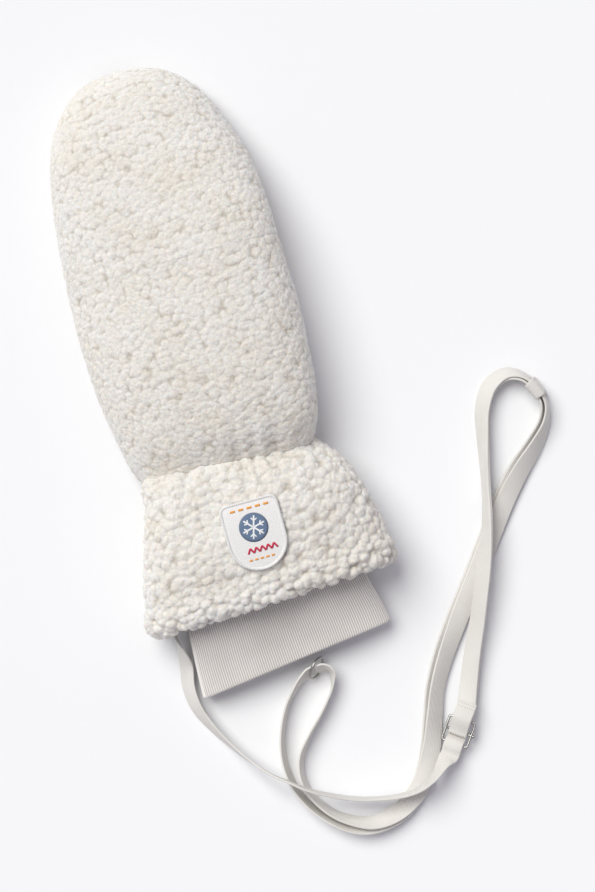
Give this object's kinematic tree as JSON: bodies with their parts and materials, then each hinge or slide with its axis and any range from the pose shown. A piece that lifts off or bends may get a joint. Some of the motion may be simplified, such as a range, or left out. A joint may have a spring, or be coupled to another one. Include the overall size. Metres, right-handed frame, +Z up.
{
  "type": "fleece mitten with leash",
  "caption": "Sherpa fleece mitten with a suede palm, folded thumb, wide gauntlet, inner rib-knit cuff, felt patch and a flat elastic leash with slider and ring.",
  "frame": {"origin": "under the middle of the mitten without its leash, on the surface it lies on", "axes": "+Y to the fingertips, +X to the thumb side, +Z up through the back of the hand"},
  "size_m": [0.2331, 0.4211, 0.0534],
  "materials": {
    "fleece": "curly off-white sherpa pile, matt",
    "suede": "beige suede with a short fine nap",
    "rib_knit": "fine lengthwise rib knit, grey-beige",
    "felt": "white felt with a stitched edge",
    "elastic": "flat woven elastic, off-white, satin",
    "nickel": "polished nickel wire"
  },
  "bodies": {
    "root": {"hand_back": "fleece", "hand_tip": "fleece", "palm": "suede", "thumb": "fleece", "gauntlet": "fleece", "rib_cuff": "rib_knit", "patch": "felt", "leash_lead": "elastic", "leash_return": "elastic", "slider": "nickel", "keeper": "felt", "leash_ring": "nickel"}
  },
  "joints": []
}
